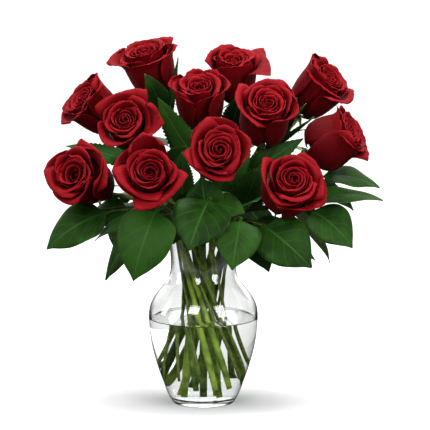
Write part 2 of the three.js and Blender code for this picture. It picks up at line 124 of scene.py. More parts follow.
def add_node(tree, kind, settings=None, links=None):
    """Adds a node, sets its properties or unlinked inputs, and links its inputs."""
    made = tree.nodes.new(kind)
    for name, value in (settings or {}).items():
        if isinstance(name, str) and hasattr(made, name):
            setattr(made, name, value)
        else:
            made.inputs[name].default_value = value
    for name, socket in (links or {}).items():
        tree.links.new(socket, made.inputs[name])
    return made


def clear_material(name, tint, ior, ripple, shadow_tint):
    """A clear material with a rippled face. ripple: length, height, strength and detail. Rays from the lamps
    pass straight through, in place of the light that it throws on what stands in it."""
    length, height, strength, detail = ripple
    material, tree = new_material(name)
    place = add_node(tree, "ShaderNodeTexCoord")
    swell = add_node(tree, "ShaderNodeTexNoise", {"Scale": 1 / (length * MM), "Detail": detail},
                     {"Vector": place.outputs["Object"]})
    waves = add_node(tree, "ShaderNodeBump", {"Strength": strength, "Distance": height * MM},
                     {"Height": swell.outputs["Fac"]})
    clear = add_node(tree, "ShaderNodeBsdfPrincipled",
                     {"Base Color": colour(tint), "Roughness": 0, "IOR": ior, "Transmission Weight": 1},
                     {"Normal": waves.outputs["Normal"]})
    rays = add_node(tree, "ShaderNodeLightPath")
    lit_through = add_node(tree, "ShaderNodeBsdfTransparent", {"Color": colour(shadow_tint)})
    both = add_node(tree, "ShaderNodeMixShader", {},
                    {0: rays.outputs["Is Shadow Ray"], 1: clear.outputs[0], 2: lit_through.outputs[0]})
    add_node(tree, "ShaderNodeOutputMaterial", {}, {"Surface": both.outputs[0]})
    return material


wall_line = smooth_line(VASE_OUTLINE, 6)
outside = [(radius, height) for radius, height in wall_line if height < LIP_START]
lip = [
    (LIP_MIDDLE[0] + LIP_ROUND * math.cos(math.radians(angle)),
     LIP_MIDDLE[1] + LIP_ROUND * math.sin(math.radians(angle)))
    for angle in range(10, 180, 20)
]
inside = [
    (radius - VASE_WALL, height)
    for radius, height in reversed(wall_line) if WELL_TOP < height < LIP_START
]
well = smooth_line(WELL, 4)

# Clear soda-lime glass, with the slow ripples of a blown wall and the faintest green.
glass = clear_material("clear_soda_lime_glass", "fdfefd", 1.52, (38, 0.5, 0.25, 1.0), "f2f6f3")

vase = turned(FOOT + outside + lip + inside + well, VASE_STEPS)
add_piece("glass_vase", vase, [glass], "vase")

# ---- water
# Clear tap water up to the widest part of the vase. It wets the glass, so its edge creeps up the wall in
# a thin meniscus, and it reaches a hair into the wall so that no air shows between the two.

WATER_LEVEL = 95
WATER_IN_WALL = 0.25
# distance in from the wall and height above the level, down the meniscus
MENISCUS = ((0.0, 1.6), (0.5, 0.9), (1.2, 0.4), (2.4, 0.12), (4.5, 0), (20, 0))
WET_TOP = WATER_LEVEL + 1.5


def between(line, key):
    """The value at a key, on a line of (key, value) pairs in order."""
    for (low, at_low), (high, at_high) in zip(line, line[1:]):
        if key <= high:
            return at_low + (at_high - at_low) * max(0.0, (key - low) / (high - low))
    return line[-1][1]


wall_inside = [(height, radius - VASE_WALL) for radius, height in wall_line if height > WELL_TOP]
wet_floor = [(max(radius, 0.0), height - WATER_IN_WALL) for radius, height in reversed(well)]
wet_wall = [(radius + WATER_IN_WALL, height) for height, radius in wall_inside if height < WET_TOP]
edge_radius = between(wall_inside, WET_TOP)
meniscus = [(edge_radius - inward, WATER_LEVEL + rise) for inward, rise in MENISCUS]

# Water, quite still.
water = clear_material("still_water", "fdfefe", 1.333, (25, 0.2, 0.1, 0.0), "f8fbf9")

filling = turned(wet_floor + wet_wall + meniscus + [(0, WATER_LEVEL)], VASE_STEPS)
add_piece("vase_water", filling, [water], "water")

# ---- rose stems
# Twelve cut stems, green and a little woody, standing in one spiral through the neck of the vase. Each
# swells into the hip under its bloom, where five sepals hang turned back, and most carry toothed leaves.

NECK = 160  # height of the narrowest place, where the stems stand closest
LIP = 205
# Over the drop below the neck the stems go round by the turn and their distance from the axis grows by the
# spread. The lead turns the whole spiral.
SPIRAL_TURN, SPIRAL_SPREAD, SPIRAL_DROP, SPIRAL_LEAD = 95, 1.9, 150, 38
ROSE_STEM_RADIUS = 3.1
STRAIGHT_STEPS, CURVED_STEPS = 17, 13  # stations in the vase, and from the lip to the bloom
STEM_END = -9  # where the stem meets the hip, on the bloom's axis
HANDLE = 0.33  # share of a stem's reach over which its curve keeps to the heading of each end
BLOOM_HEIGHT = 56  # from the root of the petals to the middle of the opening
UP = Vector((0, 0, 1))

# The roses, numbered from the back left. at: middle of the opening. tilt: lean from upright. turn: which
# way it leans, 0 to the front and 90 to the right. open: how far the outer petals have turned down. sunk:
# how far the heart lies below the rim. size: against a bloom 56 high. spin: angle of the first petal.
# slim, belly and wide: a bowl that is drawn in at the root, swollen or broad. neck: distance and angle
# from the vase's axis at the neck. own: what single outer petals have in place of the rule in petal_form,
# 0 being the outermost. Each leaf is (share of the way up from the lip, tip, width, direction its face
# looks).
ROSES = [
    {"at": (-67, 52, 391), "tilt": 26, "turn": -38, "open": 0.9, "size": 1.12, "spin": 20, "slim": 0.55,
     "neck": (21, 128),
     "own": {1: {"turn": 178, "flare": 24, "lean": 70, "half_width": 62, "corner": 1.2},
             0: {"turn": -6, "flare": 17, "lean": 34, "roll": 130, "half_width": 60, "corner": 1.4}},
     "leaves": [(0.86, (-64, 14, 366), 30, (0.1, -0.95, 0.3)),
                (0.6, (-92, 108, 292), 32, (-0.2, 0.3, 0.9)), (0.8, (-28, 32, 383), 8, (0, -1, 0.2))]},
    {"at": (-136, 28, 340), "tilt": 50, "turn": -60, "open": 0.85, "size": 1.04, "spin": 75, "slim": 0.5,
     "neck": (21, 160),
     "own": {0: {"turn": 6, "flare": 23, "lean": 16, "roll": 40, "half_width": 52, "corner": 2.0},
             1: {"turn": 200, "flare": 18, "lean": 62, "corner": 1.6},
             2: {"turn": -32, "flare": 24, "lean": 54, "half_width": 56, "corner": 1.6},
             3: {"turn": 150, "flare": 17, "lean": 56, "half_width": 60, "corner": 1.6}},
     "leaves": [(0.45, (-152, 4, 288), 32, (0, -0.6, 0.8)),
                (0.62, (-140, 72, 268), 32, (-0.3, 0.2, 0.9))]},
    {"at": (-5, -8, 357), "tilt": 34, "turn": -3, "open": 0.1, "sunk": 4, "size": 1.1, "spin": 140,
     "slim": 0.35, "neck": (0, 0),
     "own": {0: {"turn": -12, "flare": 17, "lean": 26, "roll": 140, "lip": 7, "half_width": 60,
                 "corner": 1.4},
             1: {"turn": 190, "lean": 24, "flare": 15, "corner": 1.2}},
     "leaves": [(0.6, (-50, 0, 341), 32, (-0.4, -0.8, 0.3))]},
    {"at": (34, 62, 382), "tilt": 22, "turn": 1, "open": 0.1, "sunk": 5, "size": 1.03, "spin": 10,
     "slim": 0.35, "neck": (11, 80),
     "own": {0: {"turn": 0, "flare": 15, "lean": 94, "lip": 12, "roll": 120, "half_width": 66,
                 "corner": -1.4}},
     "leaves": [(0.72, (66, 118, 312), 32, (0.1, 0.4, 0.9)), (0.55, (6, 118, 262), 32, (0, 0.4, 0.9)),
                (0.62, (44, 34, 346), 30, (0, -1, 0.1))]},
    {"at": (143, 40, 361), "tilt": 46, "turn": 55, "open": 0.55, "size": 1.08, "spin": 200, "slim": 0.4,
     "neck": (21, 32),
     "own": {0: {"turn": 178, "flare": 23, "lean": 22, "roll": 30, "half_width": 50, "corner": 2.0},
             2: {"turn": 212, "flare": 22, "lean": 44, "roll": 40, "half_width": 52, "corner": 1.8}},
     "leaves": [(0.7, (140, 98, 298), 32, (0.4, 0.3, 0.85)), (0.62, (114, 8, 334), 8, (0, -1, 0.2)),
                (0.56, (122, 0, 320), 7, (0.2, -1, 0.2)), (0.68, (104, 34, 338), 26, (0, -1, 0.1))]},
    {"at": (-86, -38, 322), "tilt": 62, "turn": -10, "open": 0.65, "size": 1.03, "spin": 322,
     "neck": (11, 184),
     "own": {0: {"turn": 342, "flare": 30, "lean": 66, "half_width": 54, "corner": 1.8},
             2: {"turn": 236, "flare": 20, "lean": 46, "corner": 1.0}},
     "leaves": [(0.5, (-18, -22, 290), 32, (0.1, -1, 0.1))]},
    {"at": (72, -25, 340), "tilt": 46, "turn": 8, "open": 0.45, "belly": 0.35, "size": 1.13, "spin": 60,
     "neck": (11, 10),
     "own": {2: {"turn": 338, "flare": 19, "lean": 42, "corner": 1.2}},
     "leaves": [(0.34, (110, -7, 297), 30, (0.1, -0.8, 0.5)),
                (0.28, (100, -22, 262), 34, (0, -0.9, 0.4))]},
    {"at": (164, -12, 308), "tilt": 62, "turn": 70, "open": 0.3, "belly": 0.7, "wide": 1.1, "size": 1.02,
     "spin": 260, "neck": (21, 0),
     "own": {0: {"turn": 292, "half_width": 58, "lean": 14, "flare": 17, "roll": 40, "corner": 1.8,
                 "ruffle": 2.0}},
     "leaves": [(0.7, (158, 44, 258), 32, (0.3, 0.3, 0.9))]},
    {"at": (18, -90, 295), "tilt": 66, "turn": 3, "open": 0.95, "size": 1.08, "spin": 110,
     "neck": (11, 289),
     "own": {1: {"turn": 240, "flare": 12, "lean": 26, "corner": -0.8}},
     "leaves": [(0.4, (51, -10, 298), 36, (0.2, -1, 0.1))]},
    {"at": (-57, -95, 273), "tilt": 63, "turn": -4, "open": 0.9, "sunk": 8, "size": 1.1, "spin": 170,
     "neck": (21, 232),
     "own": {2: {"turn": 97, "flare": 28, "lean": 44, "half_width": 58, "corner": 1.6}},
     "leaves": [(0.3, (-22, -44, 286), 26, (0, -1, 0.15))]},
    {"at": (-143, -62, 265), "tilt": 68, "turn": -28, "open": 0.85, "sunk": 10, "size": 1.14, "spin": 230,
     "neck": (21, 187),
     "own": {0: {"turn": 6, "flare": 20, "lean": 42, "roll": 60, "corner": 1.3},
             3: {"turn": 262, "flare": 19, "lean": 44, "corner": 1.2}},
     "leaves": []},
    {"at": (98, -84, 263), "tilt": 60, "turn": 14, "open": 0.85, "size": 1.12, "spin": 330,
     "neck": (21, 330),
     "own": {1: {"turn": 200, "flank": 27.8, "flare": 11, "lean": 14}},
     "leaves": [(0.42, (58, -70, 236), 30, (0, -0.8, 0.5)), (0.3, (60, -26, 264), 38, (0, -1, 0.1))]},
]


def on_circle(radius, angle, height):
    around = math.radians(angle)
    return Vector((radius * math.cos(around), radius * math.sin(around), height))


def bloom_axis(rose):
    lean, turn = math.radians(rose["tilt"]), math.radians(rose["turn"])
    return Vector((math.sin(lean) * math.sin(turn), -math.sin(lean) * math.cos(turn), math.cos(lean)))


def on_bloom_axis(rose, height):
    return Vector(rose["at"]) + bloom_axis(rose) * (height - BLOOM_HEIGHT * rose["size"])


def bloom_frame(rose):
    """Takes a point of the bloom, whose axis is Z and whose root is the origin, to its place."""
    lean = UP.rotation_difference(bloom_axis(rose)).to_matrix().to_4x4()
    return Matrix.Translation(on_bloom_axis(rose, 0)) @ lean


def bezier(points, share):
    """The point a share of the way along a Bezier curve of three or four points, and its heading there."""
    while len(points) > 2:
        points = [a.lerp(b, share) for a, b in zip(points, points[1:])]
    return points[0].lerp(points[1], share), (points[1] - points[0]).normalized()


def inner_radius(height):
    """Radius of the inside of the vase, by the straight lines of its CAD outline."""
    return between([(z, radius) for radius, z in VASE_OUTLINE], height) - VASE_WALL


def stem_line(neck, head, axis, radius):
    """A stem's foot, its direction in the vase, its point at the lip, and its curve from there to its head.
    It goes down the spiral as far as the floor or the wall of the vase lets it."""
    distance, angle = neck
    gathered = on_circle(distance, angle + SPIRAL_LEAD, NECK)
    spread = on_circle(distance * SPIRAL_SPREAD, angle + SPIRAL_LEAD + SPIRAL_TURN, NECK - SPIRAL_DROP)
    up = (gathered - spread).normalized()
    clear_of_glass = radius * 1.15 + 0.5  # room for the knots of the stem
    step = up * 0.5
    foot = gathered.copy()
    while (foot.z - clear_of_glass > VASE_FLOOR
           and math.hypot(foot.x, foot.y) + clear_of_glass < inner_radius(foot.z)):
        foot -= step
    foot += step
    at_lip = gathered + up * ((LIP - NECK) / up.z)
    reach = (head - at_lip).length
    rise = [at_lip, at_lip + up * HANDLE * reach, head - axis * HANDLE * reach, head]
    return foot, up, at_lip, rise


def sweep(bm, stations, sides, material_index):
    """A round bar through stations of (point, direction, radius), closed at both ends."""
    across = Vector((-stations[-1][0].y, stations[-1][0].x, 0)).normalized()
    frames = []
    for point, along, radius in stations:
        right = (across - along * across.dot(along)).normalized()
        turn = Matrix((right, along.cross(right), along)).transposed().to_4x4()
        frames.append(Matrix.Translation(point * MM) @ turn @ Matrix.Scale(radius * MM, 4))
    ring = bmesh.ops.create_circle(bm, cap_ends=True, radius=1, segments=sides, matrix=frames[0])["verts"]
    faces = list(dict.fromkeys(face for vert in ring for face in vert.link_faces))
    edges = list(dict.fromkeys(edge for vert in ring for edge in vert.link_edges))
    for before, after in zip(frames, frames[1:]):
        grown = bmesh.ops.extrude_edge_only(bm, edges=edges)["geom"]
        ring = [item for item in grown if isinstance(item, bmesh.types.BMVert)]
        edges = [item for item in grown if isinstance(item, bmesh.types.BMEdge)
                 and all(vert in ring for vert in item.verts)]
        faces += [item for item in grown if isinstance(item, bmesh.types.BMFace)]
        bmesh.ops.transform(bm, matrix=after @ before.inverted(), verts=ring)
    faces += bmesh.ops.contextual_create(bm, geom=edges)["faces"]
    bmesh.ops.recalc_face_normals(bm, faces=faces)
    for face in faces:
        face.material_index = material_index


def add_leaf(bm, layers, outline, base, tip, width, face, form):
    """A blade from base to tip, arched along its rib and folded up on both sides of it. outline: its width
    along it. form: columns, rows, thickness, arch, fold, wave and curl of its edges, teeth, shade, materials
    of its face and back, and the frame it stands in."""
    uv, shade = layers
    rib_line = tip - base
    along = rib_line.normalized()
    upward = (face - along * face.dot(along)).normalized()
    middle = (base + tip) / 2 + upward * 2 * form["arch"] * rib_line.length
    side = along.cross(upward)
    columns, rows = form["columns"], form["rows"]
    blade = bmesh.ops.create_grid(bm, x_segments=columns, y_segments=rows, size=1)["verts"]
    faces = list(dict.fromkeys(face for vert in blade for face in vert.link_faces))
    for vert in blade:
        across, share = vert.co.x, (vert.co.y + 1) / 2
        for loop in vert.link_loops:
            loop[uv].uv = ((across + 1) / 2, share)
        vert[shade] = form["shade"]
        half = between(outline, share) * width / 2
        # teeth: the edge steps in, level and out by turns, but not near the stalk or tip
        if form["teeth"] and abs(across) > 0.999 and 0.12 < share < 0.97:
            half *= 1.0 + 0.07 * (round(share * rows) % 3 - 1)
        centre, heading = bezier([base, middle, tip], share)
        lift = side.cross(heading)
        edge = abs(across)
        phase = 3 * form["shade"] + (1.2 if across > 0 else 0)
        rise = form["fold"] * half * (0.6 * edge + 0.4 * edge**2)
        rise += form["wave"] * edge**2 * math.sin(share * 13 + phase)
        # the edges turn down more and more along it, and the tip hangs
        rise -= form["curl"] * half * edge**3 * share + form["curl"] * 9 * max(0.0, share - 0.8)
        point = centre + side * across * half + lift * rise
        vert.co = form["frame"] @ point * MM
    for blade_face in faces:
        blade_face.material_index = form["face_material"]
    before = set(bm.faces)
    bmesh.ops.recalc_face_normals(bm, faces=faces)
    if faces[0].normal.dot(form["frame"].to_3x3() @ upward) < 0:
        bmesh.ops.reverse_faces(bm, faces=faces)
    bmesh.ops.solidify(bm, geom=faces, thickness=form["thickness"] * MM)
    for made in set(bm.faces) - before:
        made.material_index = form["back_material"]


# share of the way along a leaf, and share of its width there
ROSE_LEAF = smooth_line(
    [(0, 0.05), (0.1, 0.055), (0.15, 0.34), (0.2, 0.72), (0.3, 0.99), (0.45, 1.0), (0.66, 0.83),
     (0.84, 0.48), (0.94, 0.2), (1, 0.02)], 4)
ROSE_LEAF_FORM = {"columns": 10, "rows": 66, "thickness": 0.5, "arch": 0.07, "fold": 0.16, "wave": 0.7,
                  "curl": 0.25, "teeth": True, "face_material": 1, "back_material": 2}
SEPAL = smooth_line([(0, 0.75), (0.16, 1), (0.4, 0.8), (0.62, 0.4), (0.8, 0.2), (1, 0.03)], 3)
SEPAL_FORM = {"columns": 6, "rows": 16, "thickness": 0.5, "arch": 0.08, "fold": 0.3, "wave": 0.4,
              "curl": 0.3, "teeth": False, "face_material": 3, "back_material": 3}
SEPAL_LENGTH, SEPAL_WIDTH, SEPAL_COUNT = 23, 6.5, 5
SEPAL_OUT, SEPAL_DOWN = 0.62, 0.68  # how far its tip stands out and hangs down, against its length
# height on the bloom's axis and radius, up the swollen end of the stem
HIP = [(-11, 3.0), (STEM_END, 3.3), (-7.4, 4.3), (-5.8, 5.5), (-4, 6.0), (-2.4, 5.7), (-1.2, 4.6)]
NO_TURN = Matrix.Identity(4)

# Green rose bark: soft and waxy, mottled dark to yellow-green, finely dimpled with pores.
rose_bark, tree = new_material("waxy_rose_bark")
place = add_node(tree, "ShaderNodeTexCoord")
tone = add_node(tree, "ShaderNodeAttribute", {"attribute_name": "shade"})
mottle = add_node(tree, "ShaderNodeTexNoise", {"Scale": 1 / (14 * MM), "Detail": 3.0},
                  {"Vector": place.outputs["Object"]})
mixed = add_node(tree, "ShaderNodeMath", {"operation": "ADD"},
                 {0: tone.outputs["Fac"], 1: mottle.outputs["Fac"]})
greens = add_node(tree, "ShaderNodeValToRGB", {}, {"Fac": mixed.outputs[0]})
dark, light = greens.color_ramp.elements
dark.position, dark.color = 0.55, colour("1d2f0d")
light.position, light.color = 1.0, colour("6c7f2c")
greens.color_ramp.elements.new(0.8).color = colour("44581b")
pores = add_node(tree, "ShaderNodeTexVoronoi", {"Scale": 1 / (1.6 * MM)},
                 {"Vector": place.outputs["Object"]})
grain = add_node(tree, "ShaderNodeBump", {"Strength": 0.3, "Distance": 0.15 * MM},
                 {"Height": pores.outputs["Distance"]})
bark = add_node(tree, "ShaderNodeBsdfPrincipled",
                {"Roughness": 0.45, "IOR": 1.45, "Specular IOR Level": 0.12},
                {"Base Color": greens.outputs["Color"], "Normal": grain.outputs["Normal"]})
add_node(tree, "ShaderNodeOutputMaterial", {}, {"Surface": bark.outputs[0]})


def leaf_material(name, blade, vein, edge, pairs, slant, roughness, net_size):
    """A leaf's surface, drawn on its UV map: across it from 0 to 1, and along it from 0 at the stalk to 1 at
    its tip. blade: dark and light colour between the veins. pairs: side veins on each half. slant: how far
    they run forward. net_size: width of the cushions between the smallest veins."""
    material, tree = new_material(name)
    sheet = add_node(tree, "ShaderNodeUVMap", {"uv_map": "blade"})
    parts = add_node(tree, "ShaderNodeSeparateXYZ", {}, {0: sheet.outputs["UV"]})
    from_rib = add_node(tree, "ShaderNodeMath", {"operation": "SUBTRACT", 1: 0.5},
                        {0: parts.outputs["X"]})
    off_rib = add_node(tree, "ShaderNodeMath", {"operation": "ABSOLUTE"}, {0: from_rib.outputs[0]})
    place = add_node(tree, "ShaderNodeTexCoord")
    drift = add_node(tree, "ShaderNodeTexNoise", {"Scale": 1 / (18 * MM)},
                     {"Vector": place.outputs["Object"]})
    # side veins: lines of equal (along - slant x distance from the rib), bent a little by the noise
    forward = add_node(tree, "ShaderNodeMath", {"operation": "MULTIPLY_ADD", 1: -slant},
                       {0: off_rib.outputs[0], 2: parts.outputs["Y"]})
    bent = add_node(tree, "ShaderNodeMath", {"operation": "MULTIPLY_ADD", 1: 0.06},
                    {0: drift.outputs["Fac"], 2: forward.outputs[0]})
    counted = add_node(tree, "ShaderNodeMath", {"operation": "MULTIPLY", 1: pairs}, {0: bent.outputs[0]})
    cell = add_node(tree, "ShaderNodeMath", {"operation": "FRACT"}, {0: counted.outputs[0]})
    centred = add_node(tree, "ShaderNodeMath", {"operation": "SUBTRACT", 1: 0.5}, {0: cell.outputs[0]})
    from_vein = add_node(tree, "ShaderNodeMath", {"operation": "ABSOLUTE"}, {0: centred.outputs[0]})
    soft = {"interpolation_type": "SMOOTHSTEP"}
    side_vein = add_node(tree, "ShaderNodeMapRange",
                         soft | {"From Min": 0.07, "From Max": 0.0, "To Max": 0.55},
                         {"Value": from_vein.outputs[0]})
    rib = add_node(tree, "ShaderNodeMapRange", soft | {"From Min": 0.03, "From Max": 0.008},
                   {"Value": off_rib.outputs[0]})
    veins = add_node(tree, "ShaderNodeMath", {"operation": "MAXIMUM"},
                     {0: side_vein.outputs[0], 1: rib.outputs[0]})
    tone = add_node(tree, "ShaderNodeAttribute", {"attribute_name": "shade"})
    mixed = add_node(tree, "ShaderNodeMath", {"operation": "MULTIPLY_ADD", 1: 0.5},
                     {0: tone.outputs["Fac"], 2: drift.outputs["Fac"]})
    lamina = add_node(tree, "ShaderNodeValToRGB", {}, {"Fac": mixed.outputs[0]})
    dark, light = lamina.color_ramp.elements
    dark.position, dark.color = 0.35, colour(blade[0])
    light.position, light.color = 0.95, colour(blade[1])
    veined = add_node(tree, "ShaderNodeMix", {"data_type": "RGBA", 7: colour(vein)},
                      {0: veins.outputs[0], 6: lamina.outputs["Color"]})
    at_edge = add_node(tree, "ShaderNodeMapRange", {"From Min": 0.485, "From Max": 0.497, "To Max": 0.8},
                       {"Value": off_rib.outputs[0]})
    edged = add_node(tree, "ShaderNodeMix", {"data_type": "RGBA", 7: colour(edge)},
                     {0: at_edge.outputs[0], 6: veined.outputs[2]})
    net = add_node(tree, "ShaderNodeTexVoronoi",
                   {"feature": "DISTANCE_TO_EDGE", "Scale": 1 / (net_size * MM)},
                   {"Vector": place.outputs["Object"]})
    cushions = add_node(tree, "ShaderNodeMapRange", {"From Max": 0.25, "To Max": 0.35},
                        {"Value": net.outputs["Distance"]})
    relief = add_node(tree, "ShaderNodeMath", {"operation": "SUBTRACT"},
                      {0: cushions.outputs[0], 1: veins.outputs[0]})
    bump = add_node(tree, "ShaderNodeBump", {"Strength": 0.6, "Distance": 0.4 * MM},
                    {"Height": relief.outputs[0]})
    shine = add_node(tree, "ShaderNodeMapRange", {"To Min": roughness - 0.06, "To Max": roughness + 0.1},
                     {"Value": drift.outputs["Fac"]})
    leaf = add_node(tree, "ShaderNodeBsdfPrincipled", {"IOR": 1.45, "Specular IOR Level": 0.08},
                    {"Base Color": edged.outputs[2], "Roughness": shine.outputs[0],
                     "Normal": bump.outputs["Normal"]})
    add_node(tree, "ShaderNodeOutputMaterial", {}, {"Surface": leaf.outputs[0]})
    return material


# Rose leaf: satin upper side with about seven pairs of side veins, and a paler, duller back.
rose_leaf = leaf_material("satin_rose_leaf", ("142b0e", "294c19"), "3a5f28", "345222",
                          pairs=7, slant=0.55, roughness=0.42, net_size=2.2)
rose_leaf_back = leaf_material("dull_rose_leaf_back", ("3c5a2e", "54743e"), "748f58", "5c7a48",
                               pairs=7, slant=0.55, roughness=0.65, net_size=2.2)
# Sepal: pale grey-green, downy, so quite dull.
sepal_skin = leaf_material("downy_sepal", ("7f9a5c", "a8ba80"), "b9c898", "c3cfa6",
                           pairs=3, slant=0.8, roughness=0.7, net_size=1.6)

for number, rose in enumerate(ROSES, 1):
    chance = random.Random(f"stem {number}")
    bm = bmesh.new()
    layers = bm.loops.layers.uv.new("blade"), bm.verts.layers.float.new("shade")
    axis = bloom_axis(rose)
    head = on_bloom_axis(rose, STEM_END)
    start, up, at_lip, rise = stem_line(rose["neck"], head, axis, ROSE_STEM_RADIUS)
    stations = []
    straight = (at_lip - start).length
    for step in range(STRAIGHT_STEPS):
        swelling = 1.0 + (0.10 if step % 5 == 3 else 0.0) + chance.uniform(-0.02, 0.02)  # a knot in five
        point = start + up * straight * step / STRAIGHT_STEPS
        stations.append((point, up, ROSE_STEM_RADIUS * swelling))
    for step in range(CURVED_STEPS):
        share = step / CURVED_STEPS
        point, heading = bezier(rise, share)
        radius = ROSE_STEM_RADIUS * (1 - 0.2 * share) * chance.uniform(0.98, 1.02)
        stations.append((point, heading, radius))
    stations += [(on_bloom_axis(rose, height), axis, radius) for height, radius in HIP]
    sweep(bm, stations, sides=14, material_index=0)
    for vert in bm.verts:
        vert[layers[1]] = 0.15 + 0.35 * (number * 5 % 12) / 12  # the stems go from dark to yellow-green
    for share, tip, width, face in rose["leaves"]:
        base = bezier(rise, share * 0.98)[0]
        add_leaf(bm, layers, ROSE_LEAF, base, Vector(tip), width, Vector(face),
                 ROSE_LEAF_FORM | {"shade": chance.random(), "frame": NO_TURN})
    for sepal in range(SEPAL_COUNT):
        angle = rose["spin"] + 360 * sepal / SEPAL_COUNT
        length = SEPAL_LENGTH * chance.uniform(0.85, 1.0)
        base = on_circle(4.4, angle, -4.0)  # inside the hip, where it is widest
        tip_angle = angle + chance.uniform(-9, 9)
        tip = on_circle(4.2 + length * SEPAL_OUT, tip_angle, -4.4 - length * SEPAL_DOWN)
        add_leaf(bm, layers, SEPAL, base, tip, SEPAL_WIDTH, UP,
                 SEPAL_FORM | {"shade": chance.random(), "frame": bloom_frame(rose)})
    add_piece(f"rose_{number:02d}_stalk", bm, [rose_bark, rose_leaf, rose_leaf_back, sepal_skin],
              f"rose_{number:02d}_stem")

# ---- rose blooms
# Full double garden roses. Each petal is thin and velvety, cupped up from its root, flared at the shoulder
# and rolled back at the rim. They grow in the golden-angle spiral, furled in the heart and loose outside.

PETALS = 21
LOOSE_PETALS = 5
GOLDEN_ANGLE = 137.5
PETAL_THICKNESS = 0.5
PETAL_COLUMNS, PETAL_ROWS = 14, 18
PETAL_START = 0.06  # station of its lowest row, as petal_point counts them


def petal_form(number, rose, chance):
    """The form of one petal, 0 being the outermost. turn and half_width: the angle it stands at and half of
    what it covers. root, flank and shoulder: height of its root, radius and height of its bowl. flare and
    lean: length of the flare and its lean outwards. lip and roll: the same for the rolled rim. corner: how
    far the rim is drawn to a point, or below 0 folded straight across. ruffle: how far it is waved."""
    def vary(amount):
        return chance.uniform(-amount, amount)

    place = 1 - number / (PETALS - 1)  # 1 for the outermost, 0 in the heart
    coiled = (PETALS - 1 - number) / (PETALS - 1 - LOOSE_PETALS)  # 1 for the outermost of the furled ones
    size, opened, wide = rose["size"], rose["open"], rose.get("wide", 1.0)
    form = {
        "half_width": 74 + 46 * (1 - place) ** 1.5 + vary(6),
        "belly": rose.get("belly", 0.0),
        "slim": rose.get("slim", 0.0),
        "spiral": 0.04 + 0.10 * (1 - place),
        "phase": chance.uniform(0, math.tau),
        "turn": rose["spin"] + number * GOLDEN_ANGLE + vary(8),
        "shade": chance.random(),
    }
    if number < LOOSE_PETALS:
        return form | {
            "root": 1.2 * number,
            "flank": size * (25.5 * wide - 1.6 * number),
            "shoulder": size * (45 - (2 + 8 * opened) * place**4 + vary(1)),
            "flare": size * (11 + 5 * opened - number),
            "lean": 12 + 58 * opened * place**3 + vary(4),
            "lip": size * (5.0 + vary(0.8)),
            "roll": 70 + 40 * opened + vary(15),
            "corner": 1.0 if number % 2 == 0 else -1.0,
            "ruffle": 1.2,
        } | rose["own"].get(number, {})
    return form | {
        "root": 8 - 2 * coiled,
        "flank": size * (2.4 + 15.6 * wide * coiled**0.85 + vary(0.5)),
        "shoulder": size * (45 + vary(1.2)) - rose.get("sunk", 0) * max(0, 1 - 2.2 * coiled),
        "flare": size * (7.5 + 3 * coiled**2),
        "lean": -16 + 24 * coiled + 14 * opened * coiled**2 + vary(4),
        "lip": size * (1.9 + 3.2 * coiled),
        "roll": 55 + 45 * coiled + vary(10),
        "corner": vary(1.4),
        "ruffle": 0.5 + 0.7 * coiled,
    }


def bend(section, start, end, length):
    """Goes on from (out, up) along a steady bend, headed from one angle out of upright to another."""
    start, end = math.radians(start), math.radians(end)
    radius = length / ((end - start) or 1e-6)
    return (section[0] + radius * (math.cos(start) - math.cos(end)),
            section[1] + radius * (math.sin(end) - math.sin(start)))


def petal_point(form, across, station):
    """A point of a petal in its bloom's frame. across runs from -1 to 1 over it, and station up it: its root
    is 0, the end of the bowl 1, the end of the flare 2 and the rim 3."""
    edge, height = abs(across), station / 3
    reach = station * (1 - 0.30 * edge**3)  # the side edges stop lower than the rib
    belly, slim, flank, shoulder = form["belly"], form["slim"], form["flank"], form["shoulder"]
    bowl = bezier([
        Vector((3, form["root"])),
        Vector((3 + (0.8 + 0.5 * belly - 0.45 * slim) * flank, form["root"])),
        Vector((flank * (1 + 0.28 * belly - 0.2 * slim),
                form["root"] + (0.3 + 0.25 * belly + 0.12 * slim) * shoulder)),
        Vector((flank * (1 - 0.06 * belly), shoulder)),
    ], min(reach, 1))[0]
    flared, rolled = min(max(reach - 1, 0), 1), max(reach - 2, 0)
    lean = form["lean"] * flared
    section = bend(bowl, 0, lean, form["flare"] * flared)
    corner = form["corner"]
    roll = form["roll"] * (0.6 + 0.8 * edge if corner > 0 else 1 + 0.4 * edge**2) * rolled
    out, up = bend(section, lean, lean + roll, form["lip"] * rolled)
    # the rim stands in a point at the rib, or is folded straight across it
    out *= 1 + (-0.2 * corner * edge if corner > 0 else -0.2 * corner * edge**2) * height**3
    phase, ruffle = form["phase"], form["ruffle"]
    wave = math.sin(across * 4.2 + phase) + 0.5 * math.sin(across * 9.1 + 2.3 * phase)
    nicks = 0.8 * math.sin(across * 17 + 3.1 * phase) * height**6
    up += 0.6 * ruffle * (wave * height**3 + nicks)
    out += ruffle * math.sin(across * 3.1 + 1.7 * phase) * height**3
    out += 2.4 * ruffle * (max(0, edge - 0.72) / 0.28) ** 2 * height  # the side edges turn out too
    out *= 1 - form["spiral"] * across
    spread = form["half_width"] * (0.5 + 0.5 * min(1, height * 2.2)) * (1 - 0.32 * height**3)
    return on_circle(out, form["turn"] + across * spread, up)


